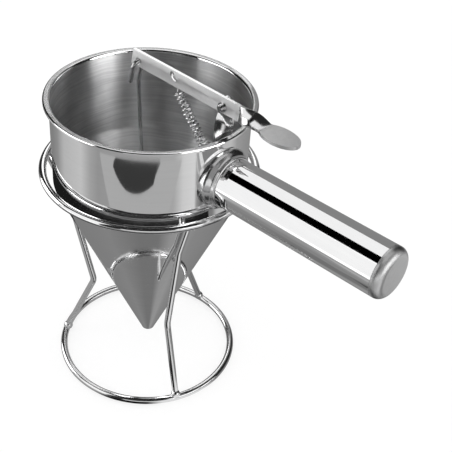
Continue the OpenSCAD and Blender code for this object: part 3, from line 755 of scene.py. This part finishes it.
def curveThrough(a, b, c, d, count):
    # points of a smooth lead from a to d, pulled towards b and c
    points = []
    for i in range(count):
        t = i / count
        s = 1 - t
        points.append(a * s ** 3 + b * 3 * s * s * t + c * 3 * s * t * t + d * t ** 3)
    return points


def springPath():
    c = spring
    side = Vector((0, 1, 0))
    below = lever["height"] / 2 + lever["springRise"] + c["coil"] + c["coilBelow"]
    start = springAt + Vector((c["coilBack"], 0, -below))
    ahead = (eyeAt - start).normalized()
    end = eyeAt - ahead * (c["screwHead"] + c["coil"] + c["coilShort"])
    over = side.cross(ahead)

    def coilPoint(turn):
        a = pi / 2 + 2 * pi * turn
        return start.lerp(end, turn / c["turns"]) + c["coil"] * (cos(a) * side + sin(a) * over)

    first, final = coilPoint(0), coilPoint(c["turns"])
    leadY = lever["sheet"] / 2 + c["wire"] + common["gap"]
    eyeRadius = c["screwRadius"] + c["wire"] + c["eyeRoom"]
    tip = springAt + Vector((c["tipBack"], -leadY, -c["tipDrop"]))
    eyeTop = eyeAt + Vector((0, -eyeRadius, c["screwHead"] + c["wire"] + c["headRoom"]))
    points = curveThrough(tip, tip + Vector(c["tipPull"]), springAt - side * leadY, springAt, c["leadSteps"])
    points += curveThrough(springAt, springAt + Vector(c["holePull"]),
                           first + Vector(c["coilPull"]), first, c["holeSteps"])
    points += [coilPoint(i / c["perTurn"]) for i in range(int(c["perTurn"] * c["turns"]))]
    points += curveThrough(final, final - over * c["endPull"],
                           eyeTop + Vector(c["eyePull"]), eyeTop, c["leadSteps"])
    eyeFrom, eyeTo = c["eyeTurn"]
    for degrees in range(eyeFrom, eyeTo + 1, c["eyeStep"]):
        points.append(eyeAt + eyeRadius * Vector((0, cos(radians(degrees)), sin(radians(degrees)))))
    return points


def buildSpring():
    points = springPath()
    curve = bpy.data.curves.new("springLine", "CURVE")
    curve.dimensions = "3D"
    curve.bevel_depth, curve.bevel_resolution, curve.use_fill_caps = spring["wire"], 2, True
    line = curve.splines.new("POLY")
    line.points.add(len(points) - 1)
    for point, place in zip(line.points, points):
        point.co = (*place, 1)
    holder = newObject("springLine", curve)
    mesh = appliedMesh(holder)
    bpy.data.objects.remove(holder)
    bm = bmesh.new()
    bm.from_mesh(mesh)
    bpy.data.meshes.remove(mesh)
    mergeAndTurn(bm, common["smallMerge"])
    return bm


springPiece = finishPiece("springWire", buildSpring(), None, ["return_spring"], [chromeWire])
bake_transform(springPiece)
print("plunger and spring built")

# the screw, its insert, the pin and the washers keep their shapes and only get a finish
for name in ("handle_insert", "handle_screw", "screw_washer", "pivot_pin", "pivot_spacer", "pivot_washer"):
    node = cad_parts[name]
    node.data.materials.clear()
    node.data.materials.append(hardwareSteel)

studio = {
    "steelShare": 0.88,  # how much light the polished steel gives back
    "world": 1.0,
    # the handle's own cards: front, slanted flag, top and back, from their edges' y and z
    "frontY": -0.431, "flagZ": 0.70, "flagY": -0.12, "topZ": 0.95, "backY": 0.70,
    # the ring of upright cards round the table, with the roof over it
    "ringRadius": 0.85, "darkRadius": 0.88, "roofRadius": 0.87, "cardStep": 5,
    "lowZ": 0.28, "middleZ": 0.62, "highZ": 1.05,
}


def srgb(value):
    # the light that a card gives so that polished steel shows this grey
    share = value / 255
    light = share / 12.92 if share <= 0.04045 else ((share + 0.055) / 1.055) ** 2.4
    return light / studio["steelShare"]


def glow(name, level, sheer=False):
    # an evenly lit card; a sheer one lets what is behind it through
    material = bpy.data.materials.new(name)
    material.use_nodes = True
    tree = material.node_tree
    tree.nodes.clear()
    out = tree.nodes.new("ShaderNodeOutputMaterial")
    emit = tree.nodes.new("ShaderNodeEmission")
    emit.inputs["Color"].default_value = (level, level, level, 1)
    face = emit.outputs[0]
    if sheer:
        clear = tree.nodes.new("ShaderNodeBsdfTransparent")
        both = tree.nodes.new("ShaderNodeAddShader")
        tree.links.new(face, both.inputs[0])
        tree.links.new(clear.outputs[0], both.inputs[1])
        face = both.outputs[0]
    tree.links.new(face, out.inputs["Surface"])
    return material


def rampGlow(name, greys, sheer=False):
    # a card whose greys change round the object; each comes with its direction in degrees
    material = glow(name, 1.0, sheer)
    tree = material.node_tree
    n, link = tree.nodes, tree.links.new
    coords = n.new("ShaderNodeTexCoord")
    parts = n.new("ShaderNodeSeparateXYZ")
    link(coords.outputs["Object"], parts.inputs[0])
    angle = mathNode(tree, "ARCTAN2", parts.outputs["Y"], parts.outputs["X"])
    ramp = n.new("ShaderNodeValToRGB")
    link(mathNode(tree, "MULTIPLY_ADD", angle, 1 / (2 * pi), 0.5), ramp.inputs[0])
    elements = ramp.color_ramp.elements
    while len(elements) > 1:
        elements.remove(elements[-1])
    for index, (azimuth, grey) in enumerate(greys):
        place = (azimuth + 180) / 360
        element = elements[0] if index == 0 else elements.new(place)
        element.position = place
        element.color = (srgb(grey), srgb(grey), srgb(grey), 1)
    link(ramp.outputs["Color"], n["Emission"].inputs["Color"])
    return material


def collected(name, pieces):
    # the pieces that a card lights
    group = bpy.data.collections.new(name)
    for piece in pieces:
        group.objects.link(piece)
    return group


otherPieces = [obj for obj in scene.objects if obj.type == "MESH" and obj is not cupPiece]
footPieces = [obj for obj in otherPieces if obj.name.startswith(("leg", "ringBase"))]
gripPieces = [obj for obj in otherPieces if obj.name.startswith("grip")]
cupOnly = collected("cupOnly", [cupPiece])
othersOnly = collected("othersOnly", otherPieces)
footOnly = collected("footOnly", footPieces)
notFoot = collected("notFoot", [cupPiece] + [obj for obj in otherPieces if obj not in footPieces])
gripOnly = collected("gripOnly", gripPieces)
partsOnly = collected("partsOnly", [obj for obj in otherPieces if obj not in gripPieces])
springOnly = collected("springOnly", [springPiece])


def addCard(name, faces, material, lit=None):
    # a card that only the metal sees, from the corners of its flat faces; lit is what it lights
    bm = bmesh.new()
    for corners in faces:
        bm.faces.new([bm.verts.new(Vector(p)) for p in corners])
    bmesh.ops.triangulate(bm, faces=bm.faces[:])
    card = newObject(name, meshFrom(name, bm))
    card.data.materials.append(material)
    card.visible_camera = card.visible_diffuse = card.visible_shadow = False
    if lit:
        card.light_linking.receiver_collection = lit


def panelCard(name, sides, edge, otherEdge, level, lit=None):
    # a flat card between two x, from one edge's y and z to the other's
    (x0, x1), (y0, z0), (y1, z1) = sides, edge, otherEdge
    corners = [(x0, y0, z0), (x1, y0, z0), (x1, y1, z1), (x0, y1, z1)]
    addCard(name, [corners], glow(name, level, sheer=lit is not None), lit)


def polar(radius, azimuth, z):
    return (radius * cos(radians(azimuth)), radius * sin(radians(azimuth)), z)


def bandFaces(first, final, edge, otherEdge):
    # the faces between two edges, each a radius and a height, from one direction to another
    step = studio["cardStep"]
    (r0, z0), (r1, z1) = edge, otherEdge
    return [[polar(r0, a, z0), polar(r0, a + step, z0), polar(r1, a + step, z1), polar(r1, a, z1)]
            for a in range(first, final, step)]


def ringCard(name, first, final, low, high, level, lit=None, radius=studio["ringRadius"]):
    # an upright card, part of a ring round the table
    faces = bandFaces(first, final, (radius, low), (radius, high))
    addCard(name, faces, glow(name, level, sheer=lit is not None), lit)


def roofCard(name, first, final, height, level, lit=None):
    # part of the roof over that ring
    radius, step = studio["roofRadius"], studio["cardStep"]
    faces = [[(0, 0, height), polar(radius, a, height), polar(radius, a + step, height)]
             for a in range(first, final, step)]
    addCard(name, faces, glow(name, level, sheer=lit is not None), lit)


frontLow, frontHigh = (studio["frontY"], 0), (studio["frontY"], studio["flagZ"])
topFront, topBack = (studio["flagY"], studio["topZ"]), (studio["backY"], studio["topZ"])
lowZ, middleZ, highZ = studio["lowZ"], studio["middleZ"], studio["highZ"]
# the handle's softboxes in front and overhead, with a black gap between them
panelCard("softboxFront", (-0.38, 0.015), frontLow, frontHigh, 1.0, othersOnly)
panelCard("flagBlack", (-0.5, -0.06), frontHigh, topFront, 0.0)
panelCard("softboxTop", (-0.62, -0.1), topFront, topBack, 1.0)
panelCard("greyBack", (-0.62, -0.1), (studio["backY"], 0), topBack, 0.25)
# a dark ring and roof, with softboxes for the cup
ringCard("ringDark", -180, 180, 0, highZ + 0.01, 0.02, radius=studio["darkRadius"])
roofCard("roofDark", -180, 180, highZ + 0.01, 0.02)
ringCard("ringLeft", -150, -100, 0, 0.7, 3.6, cupOnly)
ringCard("ringFrontLow", -70, -15, 0, lowZ, 0.8)
ringCard("ringSide", -15, 0, 0, middleZ, 2.8, cupOnly)
ringCard("ringBright", 0, 30, 0, middleZ, 9.6, cupOnly)
ringCard("ringMiddle", 0, 35, middleZ, highZ, 1.4, cupOnly)
ringCard("ringEdge", 60, 90, 0, middleZ, 0.5, cupOnly)
roofCard("roofBright", 0, 35, highZ - 0.005, 3.0, cupOnly)
ringCard("ringLip", 125, 150, 0.45, highZ, 0.8, cupOnly)
# more light for the smaller pieces, the handle or the spring alone
ringCard("ringPieces", -20, 40, 0.1, middleZ, 1.3, othersOnly)
ringCard("ringPiecesLeft", -170, -135, 0, middleZ, 2.6, partsOnly)
ringCard("ringPiecesLip", 115, 155, 0.45, 0.8, 1.4, othersOnly)
ringCard("ringGrip", -60, 60, 0, highZ, 0.25, gripOnly)
panelCard("roofPieces", (-0.8, -0.62), topFront, (0.4, studio["topZ"]), 1.0, othersOnly)
panelCard("roofOver", (0, 0.6), (-0.5, 1.0), (0.6, 1.0), 0.5, gripOnly)
panelCard("roofSpring", (-0.1, 0.6), (-0.6, 1.04), (0.2, 1.04), 1.6, springOnly)


def arc(radius, first, final):
    # points along an arc of the table, two degrees apart
    step = 2 if final > first else -2
    return [(radius, a) for a in range(first, final + step, step)]


def tableCard(name, outline, depth, material, lit=notFoot):
    # a sheet on the table, from the radius and direction of its corners
    addCard(name, [[polar(r, a, -depth * mm) for r, a in outline]], material, lit)


# glowing cards on the table that only the metal sees: a grey one with painted light and shade that changes
# round the object, with paler and darker patches on it
tableCard("tableGrey", arc(1.3, -180, 176), 0.45, rampGlow("tableGreys", [
    (-180, 125), (-165, 140), (-150, 178), (-122, 190), (-110, 160), (-100, 146), (-20, 165), (-10, 200),
    (1, 208), (3.5, 205), (4.5, 150), (10, 112), (26, 120), (32, 180), (50, 185), (62, 150), (80, 140),
    (110, 130), (150, 120), (180, 125)]))
tableCard("tableMiddle", arc(0.215, -180, 178), 0.4, rampGlow("tableMiddles", [
    (-180, 70), (-60, 70), (-45, 140), (20, 140), (60, 120), (120, 70), (180, 70)]))
tableCard("tableGap", arc(0.25, -200, 20) + arc(0.2, 20, -200), 0.35, glow("tableGap", srgb(25)))
tableCard("tableNear", arc(0.13, -180, 178), 0.3, rampGlow("tableNears", [
    (-180, 120), (-110, 128), (-90, 122), (-60, 112), (-30, 112), (-10, 142), (10, 145), (30, 132),
    (90, 120), (180, 120)]))
tableCard("tablePale", arc(0.336, -98, -12) + arc(0.25, -28, -84), 0.3, glow("tablePale", srgb(168)))
tableCard("tableWhite", arc(0.8, -168, -118) + arc(0.36, -118, -168), 0.3, glow("tableWhite", srgb(215)))
tableCard("tableDark", arc(0.335, -80, -34) + [
    (0.327, -38), (0.314, -39), (0.300, -41), (0.290, -49), (0.285, -58), (0.288, -69), (0.297, -75),
    (0.309, -80), (0.320, -83), (0.329, -82)], 0.2, glow("tableDark", srgb(55)))
# rings over the table that brighten it for the handle alone
overTable = -0.25 * mm
addCard("bandGap", bandFaces(-200, 20, (0.2, overTable), (0.25, overTable)),
        glow("bandGap", srgb(138), sheer=True), gripOnly)
addCard("bandMiddle", bandFaces(-180, 180, (0.13, overTable), (0.2, overTable)), rampGlow("bandMiddles", [
    (-180, 128), (-62, 128), (-45, 30), (20, 30), (150, 128), (180, 128)], sheer=True), gripOnly)
# and a sheet that only the legs and the base ring see
tableCard("tableFoot", arc(1.3, -180, 176), 0.1, rampGlow("tableFoots", [
    (-180, 150), (-80, 150), (-70, 25), (-44, 25), (-34, 220), (-4, 220), (8, 125), (120, 115),
    (180, 150)], sheer=True), footOnly)

lamp = {"place": (-0.16, -0.38, 1.05), "target": (0, 0, 0.17), "size": 0.24, "level": 4.0}


def addLamp():
    # a square area lamp; its level is how bright its face looks
    data = bpy.data.lights.new("lampFront", "AREA")
    data.shape, data.size = "SQUARE", lamp["size"]
    data.energy = lamp["level"] * pi * lamp["size"] ** 2
    light = newObject("lampFront", data)
    ahead = (Vector(lamp["target"]) - Vector(lamp["place"])).normalized()
    light.matrix_world = aimed(lamp["place"], ahead, "-Z")
    light.visible_glossy = False


floor = {"half": 4.0, "z": -0.6 * mm, "grey": 0.22, "shown": 0.8}


def addFloor():
    # pale paper, which the camera and the metal see near white
    bm = bmesh.new()
    bmesh.ops.create_grid(bm, x_segments=1, y_segments=1, size=floor["half"],
                          matrix=Matrix.Translation((0, 0, floor["z"])))
    sheet = newObject("paleFloor", meshFrom("paleFloor", bm))
    material = bpy.data.materials.new("palePaper")
    material.use_nodes = True
    tree = material.node_tree
    tree.nodes.clear()
    n, link = tree.nodes, tree.links.new
    out = n.new("ShaderNodeOutputMaterial")
    paper = n.new("ShaderNodeBsdfDiffuse")
    paper.inputs["Color"].default_value = (floor["grey"], floor["grey"], floor["grey"], 1)
    lift = n.new("ShaderNodeEmission")
    path = n.new("ShaderNodeLightPath")
    seen = mathNode(tree, "MAXIMUM", path.outputs["Is Camera Ray"], path.outputs["Is Glossy Ray"])
    link(mathNode(tree, "MULTIPLY", seen, floor["shown"]), lift.inputs["Strength"])
    both = n.new("ShaderNodeAddShader")
    link(paper.outputs[0], both.inputs[0])
    link(lift.outputs[0], both.inputs[1])
    link(both.outputs[0], out.inputs["Surface"])
    sheet.data.materials.append(material)


def addWorld():
    world = bpy.data.worlds.new("studioWhite")
    scene.world = world
    world.use_nodes = True
    background = world.node_tree.nodes["Background"]
    background.inputs["Color"].default_value = (1, 1, 1, 1)
    background.inputs["Strength"].default_value = studio["world"]


view = {
    "lens": 71.476, "sensor": 36, "place": (0.31662, -0.30809, 0.43753),
    "right": (0.736, 0.6739, 0.0645), "up": (-0.4476, 0.4129, 0.7932), "ahead": (-0.508, 0.6126, -0.6055),
}


def addCamera():
    data = bpy.data.cameras.new("camera")
    data.sensor_width, data.lens = view["sensor"], view["lens"]
    camera = newObject("camera", data)
    turn = Matrix((view["right"], view["up"], -Vector(view["ahead"]))).transposed().to_4x4()
    turn.translation = Vector(view["place"])
    camera.matrix_world = turn
    scene.camera = camera


addLamp()
addFloor()
addWorld()
addCamera()
print("studio set")
